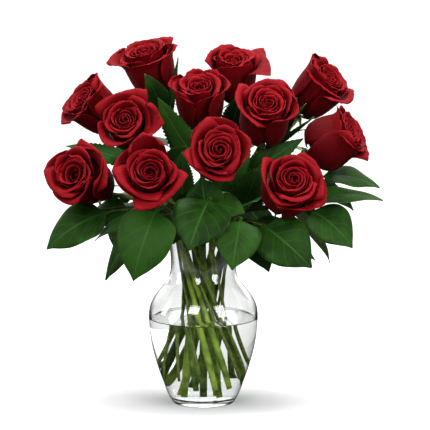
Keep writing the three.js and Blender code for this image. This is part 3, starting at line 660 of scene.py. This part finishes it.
# Rose petal: velvety crimson with fine veins up it, painted almost black at the root as shade deep in the
# folds, and painted brighter at the rim as light caught there.
# Its many small papillae make it velvety: dull, with little gloss and a faint pink sheen.
velvet, tree = new_material("velvety_crimson_petal")
sheet = add_node(tree, "ShaderNodeUVMap", {"uv_map": "petal"})
parts = add_node(tree, "ShaderNodeSeparateXYZ", {}, {0: sheet.outputs["UV"]})
place = add_node(tree, "ShaderNodeTexCoord")
tone = add_node(tree, "ShaderNodeAttribute", {"attribute_name": "shade"})
stretched = add_node(tree, "ShaderNodeMapping", {"Scale": (34, 2.2, 1)}, {"Vector": sheet.outputs["UV"]})
veins = add_node(tree, "ShaderNodeTexNoise", {"Scale": 1.0, "Detail": 4.0, "Distortion": 0.4},
                 {"Vector": stretched.outputs[0]})
blotch = add_node(tree, "ShaderNodeTexNoise", {"Scale": 1 / (16 * MM), "Detail": 3.0},
                  {"Vector": place.outputs["Object"]})
height = add_node(tree, "ShaderNodeMath", {"operation": "MULTIPLY_ADD", 1: 0.22},
                  {0: veins.outputs["Fac"], 2: parts.outputs["Y"]})
toned = add_node(tree, "ShaderNodeMath", {"operation": "MULTIPLY_ADD", 1: 0.12},
                 {0: tone.outputs["Fac"], 2: height.outputs[0]})
blotched = add_node(tree, "ShaderNodeMath", {"operation": "MULTIPLY_ADD", 1: 0.25},
                    {0: blotch.outputs["Fac"], 2: toned.outputs[0]})
level = add_node(tree, "ShaderNodeMath", {"operation": "MULTIPLY", 1: 1 / 1.45}, {0: blotched.outputs[0]})
# Up the petal the colour goes from painted shade at the root, through its own crimson, to a painted
# highlight at the rim.
reds = add_node(tree, "ShaderNodeValToRGB", {}, {"Fac": level.outputs[0]})
root_in_painted_shade, rim_with_painted_light = reds.color_ramp.elements
root_in_painted_shade.position, root_in_painted_shade.color = 0.2, colour("2c0105")
rim_with_painted_light.position, rim_with_painted_light.color = 0.95, colour("90111e")
for position, code in ((0.45, "560308"), (0.65, "6a040b"), (0.82, "7c0811")):
    reds.color_ramp.elements.new(position).color = colour(code)
papillae = add_node(tree, "ShaderNodeTexNoise", {"Scale": 1 / (0.5 * MM), "Detail": 1.0},
                    {"Vector": place.outputs["Object"]})
relief = add_node(tree, "ShaderNodeMath", {"operation": "MULTIPLY_ADD", 1: 0.25},
                  {0: papillae.outputs["Fac"], 2: veins.outputs["Fac"]})
bump = add_node(tree, "ShaderNodeBump", {"Strength": 0.6, "Distance": 1.0 * MM},
                {"Height": relief.outputs[0]})
petal = add_node(tree, "ShaderNodeBsdfPrincipled",
                 {"Roughness": 0.6, "Specular IOR Level": 0.06, "Sheen Weight": 0.1,
                  "Sheen Roughness": 0.35, "Sheen Tint": colour("ff4a58")},
                 {"Base Color": reds.outputs["Color"], "Normal": bump.outputs["Normal"]})
add_node(tree, "ShaderNodeOutputMaterial", {}, {"Surface": petal.outputs[0]})

for number, rose in enumerate(ROSES, 1):
    chance = random.Random(100 + number)
    bm = bmesh.new()
    uv, shade = bm.loops.layers.uv.new("petal"), bm.verts.layers.float.new("shade")
    place_of_bloom = bloom_frame(rose)
    for petal_number in range(PETALS):
        form = petal_form(petal_number, rose, chance)
        grid = bmesh.ops.create_grid(bm, x_segments=PETAL_COLUMNS, y_segments=PETAL_ROWS, size=1)
        for vert in grid["verts"]:
            across, station = vert.co.x, 1.5 * (vert.co.y + 1)
            for loop in vert.link_loops:
                loop[uv].uv = ((across + 1) / 2, station / 3)
            vert[shade] = form["shade"]
            vert.co = place_of_bloom @ petal_point(form, across, max(station, PETAL_START)) * MM
    piece = add_piece(f"rose_{number:02d}_petals", bm, [velvet], f"rose_{number:02d}_bloom")
    shell = piece.modifiers.new("petal thickness", "SOLIDIFY")
    shell.thickness, shell.offset = PETAL_THICKNESS * MM, 0

# ---- salal sprays
# Thin woody stems that leave the neck between the roses and hang over the lip, with oval leathery leaves
# one after the other. Four like sprays close the back of the bouquet.

SALAL_STEM_RADIUS = 1.7
SPRAY_NECK = 26  # distance from the axis at which each spray passes the neck, outside the roses
TWIG_STEPS = 12
SALAL_LEAF = smooth_line(
    [(0, 0.06), (0.09, 0.07), (0.125, 0.36), (0.18, 0.72), (0.28, 0.96), (0.4, 1.0), (0.55, 0.95),
     (0.7, 0.77), (0.84, 0.46), (0.93, 0.19), (1, 0.02)], 4)
SALAL_LEAF_FORM = {"columns": 14, "rows": 34, "thickness": 0.6, "arch": 0.12, "fold": 0.16, "wave": 1.1,
                   "curl": 0.3, "teeth": False, "face_material": 1, "back_material": 2}
BACK_REACH, BACK_HEIGHT, BACK_LEAF_REACH = 108, 222, 53.28
# end: where the stem stops. neck: the angle at which it passes the neck. leaves: as on the roses.
SPRAYS = [
    {"end": (-102, -32, 220), "neck": 204, "leaves": [
        (1, (-171, -40, 179), 50, (-0.2, -0.75, 0.6)),
        (0.72, (-128, -6, 204), 34, (0.1, -0.8, 0.6)),
        (0.6, (-142, 29, 193), 40, (-0.3, 0.2, 0.9))]},
    {"end": (-48, -66, 231), "neck": 224, "leaves": [
        (1, (-75, -90, 152), 62, (-0.15, -0.9, 0.4)),
        (0.35, (-32, -74, 190), 44, (0, -0.8, 0.5)),
        (0.8, (-106, -55, 147), 34, (-0.5, -0.75, 0.4)),
        (0.5, (-119, -34, 188), 26, (-0.3, -0.5, 0.8))]},
    {"end": (8, -58, 238), "neck": 262, "leaves": [
        (1, (-15, -100, 187), 62, (0, -0.8, 0.6)),
        (0.5, (46, -62, 222), 40, (0, -0.6, 0.8)),
        (0.3, (-2, -38, 258), 42, (0, -1, 0.1))]},
    {"end": (41, -64, 217), "neck": 299, "leaves": [(1, (31, -102, 166), 50, (0.05, -0.9, 0.42))]},
    {"end": (65, -42, 206), "neck": 316, "leaves": [
        (1, (117, -80, 165), 58, (-0.25, -0.75, 0.6)),
        (0.6, (122, -46, 168), 40, (0.5, -0.6, 0.6)),
        (0.4, (72, -48, 155), 42, (0.3, -0.85, 0.4))]},
    {"end": (118, -12, 219), "neck": 350, "leaves": [
        (1, (163, -38, 180), 54, (0.25, -0.75, 0.6)),
        (0.8, (199, -2, 228), 36, (0.15, -0.35, 0.93))]},
    {"end": (130, 24, 250), "neck": 12, "leaves": [
        (1, (196, 12, 240), 38, (0.1, -0.45, 0.9)),
        (0.7, (170, 60, 208), 44, (0.4, 0.5, 0.75))]},
]
for angle in (37, 71, 105, 139):
    SPRAYS.append({"end": on_circle(BACK_REACH, angle, BACK_HEIGHT), "neck": angle, "leaves": [
        (share, on_circle(BACK_REACH + BACK_LEAF_REACH, angle + round_by, BACK_HEIGHT + fall), 50,
         on_circle(0.45, angle + round_by, 0.85))
        for share, round_by, fall in ((1, 0, -40), (0.8, -11, -76), (0.6, 13, -16))]})

# Salal leaf: thick and leathery, waxed dark green above with about five pairs of side veins, dull below.
salal_leaf = leaf_material("waxed_salal_leaf", ("10250a", "264a14"), "31591f", "4a5c28",
                           pairs=5, slant=0.7, roughness=0.45, net_size=2.6)
salal_leaf_back = leaf_material("dull_salal_leaf_back", ("3a5830", "4f6f3c"), "748f58", "56682c",
                                pairs=5, slant=0.7, roughness=0.6, net_size=2.6)
# Salal twig: brown-green bark, finely mottled and a little rough.
twig_bark, tree = new_material("salal_twig_bark")
place = add_node(tree, "ShaderNodeTexCoord")
grain = add_node(tree, "ShaderNodeTexNoise", {"Scale": 1 / (3 * MM), "Detail": 4.0},
                 {"Vector": place.outputs["Object"]})
browns = add_node(tree, "ShaderNodeValToRGB", {}, {"Fac": grain.outputs["Fac"]})
dark, light = browns.color_ramp.elements
dark.position, dark.color = 0.3, colour("2b2f12")
light.position, light.color = 0.7, colour("56682a")
bump = add_node(tree, "ShaderNodeBump", {"Strength": 0.5, "Distance": 0.2 * MM},
                {"Height": grain.outputs["Fac"]})
bark = add_node(tree, "ShaderNodeBsdfPrincipled", {"Roughness": 0.5, "Specular IOR Level": 0.12},
                {"Base Color": browns.outputs["Color"], "Normal": bump.outputs["Normal"]})
add_node(tree, "ShaderNodeOutputMaterial", {}, {"Surface": bark.outputs[0]})

for number, spray in enumerate(SPRAYS, 1):
    chance = random.Random(f"spray {number}")
    bm = bmesh.new()
    layers = bm.loops.layers.uv.new("blade"), bm.verts.layers.float.new("shade")
    end = Vector(spray["end"])
    outward = Vector((end.x, end.y, 0)).normalized()
    start, up, at_lip, rise = stem_line((SPRAY_NECK, spray["neck"]), end, outward, SALAL_STEM_RADIUS)
    straight = at_lip - start
    stations = [(start + straight * step / TWIG_STEPS, up, SALAL_STEM_RADIUS)
                for step in range(TWIG_STEPS)]
    for step in range(TWIG_STEPS + 1):
        share = step / TWIG_STEPS
        point, heading = bezier(rise, share)
        stations.append((point, heading, SALAL_STEM_RADIUS * (1 - 0.35 * share)))
    sweep(bm, stations, sides=10, material_index=0)
    for share, tip, width, face in spray["leaves"]:
        base = bezier(rise, share * 0.98)[0]
        add_leaf(bm, layers, SALAL_LEAF, base, Vector(tip), width, Vector(face),
                 SALAL_LEAF_FORM | {"shade": chance.random(), "frame": NO_TURN})
    add_piece(f"salal_{number:02d}_foliage", bm, [twig_bark, salal_leaf, salal_leaf_back],
              f"salal_spray_{number:02d}")

# ---- floor, lights and camera
# A plain white studio floor that runs out of sight, soft lamps, and a camera that looks at the bouquet as
# the photo does.

FLOOR_RADIUS = 14.0

scene = bpy.context.scene
bm = bmesh.new()
bmesh.ops.create_circle(bm, cap_ends=True, radius=FLOOR_RADIUS, segments=96)
mesh = bpy.data.meshes.new("studio_floor")
bm.to_mesh(mesh)
bm.free()
floor = bpy.data.objects.new("studio_floor", mesh)
scene.collection.objects.link(floor)
# White floor paper, lit and glowing so brightly that it runs into the white behind. Round the foot the
# glow fades out in an ellipse, a painted shadow on top of the lamps' real shade there. Straight through the
# glass it is nearly white too, with painted shade a little greyer near the foot. Mirrored in the glass it is
# dark, except far to both sides, where it lightens the edges. It throws little light back onto the bouquet.
paper, tree = new_material("white_floor_paper")
place = add_node(tree, "ShaderNodeTexCoord")
squeezed = add_node(tree, "ShaderNodeVectorMath", {"operation": "MULTIPLY", 1: (1.0, 1.6, 1.0)},
                    {0: place.outputs["Object"]})
far = add_node(tree, "ShaderNodeVectorMath", {"operation": "LENGTH"}, {0: squeezed.outputs[0]})
rays = add_node(tree, "ShaderNodeLightPath")
# The glow seen by the eye fades out toward the foot in a squeezed ellipse: painted shadow.
glow = add_node(tree, "ShaderNodeMapRange", {"From Min": 0.035, "From Max": 0.18},
                {"Value": far.outputs["Value"]})
to_eye = add_node(tree, "ShaderNodeMath", {"operation": "MULTIPLY"},
                  {0: glow.outputs[0], 1: rays.outputs["Is Camera Ray"]})
# Seen through the glass the glow is a little less near the foot: painted shade.
faint_glow = add_node(tree, "ShaderNodeMapRange",
                      {"From Min": 0.05, "From Max": 0.6, "To Min": 0.75, "To Max": 0.95},
                      {"Value": far.outputs["Value"]})
unmirrored = add_node(tree, "ShaderNodeMath", {"operation": "SUBTRACT", "use_clamp": True},
                      {0: rays.outputs["Is Transmission Ray"], 1: rays.outputs["Glossy Depth"]})
shown = add_node(tree, "ShaderNodeMath", {"operation": "MULTIPLY_ADD"},
                 {0: faint_glow.outputs[0], 1: unmirrored.outputs[0], 2: to_eye.outputs[0]})
once_mirrored = add_node(tree, "ShaderNodeMath", {"operation": "MINIMUM", 1: 1.0},
                         {0: rays.outputs["Glossy Depth"]})
parts = add_node(tree, "ShaderNodeSeparateXYZ", {}, {0: place.outputs["Object"]})
aside = add_node(tree, "ShaderNodeMath", {"operation": "ABSOLUTE"}, {0: parts.outputs["X"]})
side_glow = add_node(tree, "ShaderNodeMapRange", {"From Min": 0.3, "From Max": 0.8, "To Max": 0.6},
                     {"Value": aside.outputs[0]})
emitted = add_node(tree, "ShaderNodeMath", {"operation": "MULTIPLY_ADD"},
                   {0: side_glow.outputs[0], 1: once_mirrored.outputs[0], 2: shown.outputs[0]})
bounced = add_node(tree, "ShaderNodeMix",
                   {"data_type": "RGBA", 6: colour("5c5c5c"), 7: colour("b0b0b0")},
                   {0: rays.outputs["Is Camera Ray"]})
paper_tone = add_node(tree, "ShaderNodeMix", {"data_type": "RGBA", 7: colour("141414")},
                      {0: once_mirrored.outputs[0], 6: bounced.outputs[2]})
sheet = add_node(tree, "ShaderNodeBsdfPrincipled",
                 {"Roughness": 0.7, "Specular IOR Level": 0.0},
                 {"Base Color": paper_tone.outputs[2], "Emission Strength": emitted.outputs[0]})
add_node(tree, "ShaderNodeOutputMaterial", {}, {"Surface": sheet.outputs[0]})
mesh.materials.append(paper)

# The room: white to the eye, and through the glass white in front and behind and greyer to both sides.
# Mirrored in the glass it is dark but for a white screen behind, brightest higher up, where the face of
# the water mirrors it. As a light on the bouquet it is dim.
world = bpy.data.worlds.new("studio")
scene.world = world
world.use_nodes = True
tree = world.node_tree
tree.nodes.clear()
rays = add_node(tree, "ShaderNodeLightPath")
way = add_node(tree, "ShaderNodeTexCoord")
parts = add_node(tree, "ShaderNodeSeparateXYZ", {}, {0: way.outputs["Generated"]})
sideways = add_node(tree, "ShaderNodeMath", {"operation": "ABSOLUTE"}, {0: parts.outputs["X"]})
ahead = add_node(tree, "ShaderNodeMapRange",
                 {"From Min": 0.5, "From Max": 0.85, "To Min": 1.0, "To Max": 0.0},
                 {"Value": sideways.outputs[0]})
behind = add_node(tree, "ShaderNodeMapRange", {"From Min": -0.1, "From Max": 0.2},
                  {"Value": parts.outputs["Y"]})
screen = add_node(tree, "ShaderNodeMath", {"operation": "MULTIPLY"},
                  {0: ahead.outputs[0], 1: behind.outputs[0]})
through = add_node(tree, "ShaderNodeMath", {"operation": "MULTIPLY_ADD", 1: 0.5, 2: 0.5},
                   {0: ahead.outputs[0]})
upward = add_node(tree, "ShaderNodeMapRange",
                  {"From Min": 0.08, "From Max": 0.15, "To Min": 0.9, "To Max": 2.2},
                  {"Value": parts.outputs["Z"]})
reflected = add_node(tree, "ShaderNodeMath", {"operation": "MULTIPLY_ADD", 2: 0.25},
                     {0: screen.outputs[0], 1: upward.outputs[0]})
once_mirrored = add_node(tree, "ShaderNodeMath", {"operation": "MINIMUM", 1: 1.0},
                         {0: rays.outputs["Glossy Depth"]})
in_glass = add_node(tree, "ShaderNodeMix", {},
                    {0: once_mirrored.outputs[0], 2: through.outputs[0], 3: reflected.outputs[0]})
as_light = add_node(tree, "ShaderNodeMix", {3: 0.3},
                    {0: rays.outputs["Is Diffuse Ray"], 2: in_glass.outputs[0]})
strength = add_node(tree, "ShaderNodeMath", {"operation": "MAXIMUM"},
                    {0: as_light.outputs[0], 1: rays.outputs["Is Camera Ray"]})
sky = add_node(tree, "ShaderNodeBackground", {"Color": (1, 1, 1, 1)}, {"Strength": strength.outputs[0]})
add_node(tree, "ShaderNodeOutputWorld", {}, {"Surface": sky.outputs[0]})

# Each lamp: place and size in metres, power in watts. All look at the bouquet.
BOUQUET = Vector((0, 0, 0.25))
for name, at, size, power in (
    ("key", (-0.8, -1.9, 1.5), (0.9, 1.1), 34),
    ("window", (1.0, -1.1, 0.85), (0.6, 1.1), 20),
    ("rim", (-1.5, 0.1, 0.6), (0.4, 0.9), 6),
    ("top", (0.0, 0.0, 2.2), (0.5, 0.5), 46),
):
    lamp = bpy.data.lights.new(name, "AREA")
    lamp.shape, lamp.energy = "RECTANGLE", power
    lamp.size, lamp.size_y = size
    holder = bpy.data.objects.new(name, lamp)
    scene.collection.objects.link(holder)
    holder.location = at
    holder.rotation_euler = (BOUQUET - Vector(at)).to_track_quat("-Z", "Y").to_euler()

# The photo is 430 pixels wide, and a pixel spans 1.107 mm of the object.
PICTURE_WIDTH = 430 * 1.107 * MM
AIM, DISTANCE, ELEVATION = Vector((13, 0, 211)) * MM, 2.5, math.radians(8)
camera = bpy.data.objects.new("camera", bpy.data.cameras.new("camera"))
scene.collection.objects.link(camera)
scene.camera = camera
camera.location = AIM + Vector((0, -math.cos(ELEVATION), math.sin(ELEVATION))) * DISTANCE
camera.rotation_euler = (AIM - camera.location).to_track_quat("-Z", "Y").to_euler()
camera.data.sensor_width = 36
camera.data.lens = 36 * DISTANCE / PICTURE_WIDTH
camera.data.clip_end = 60
scene.view_settings.view_transform = "Standard"
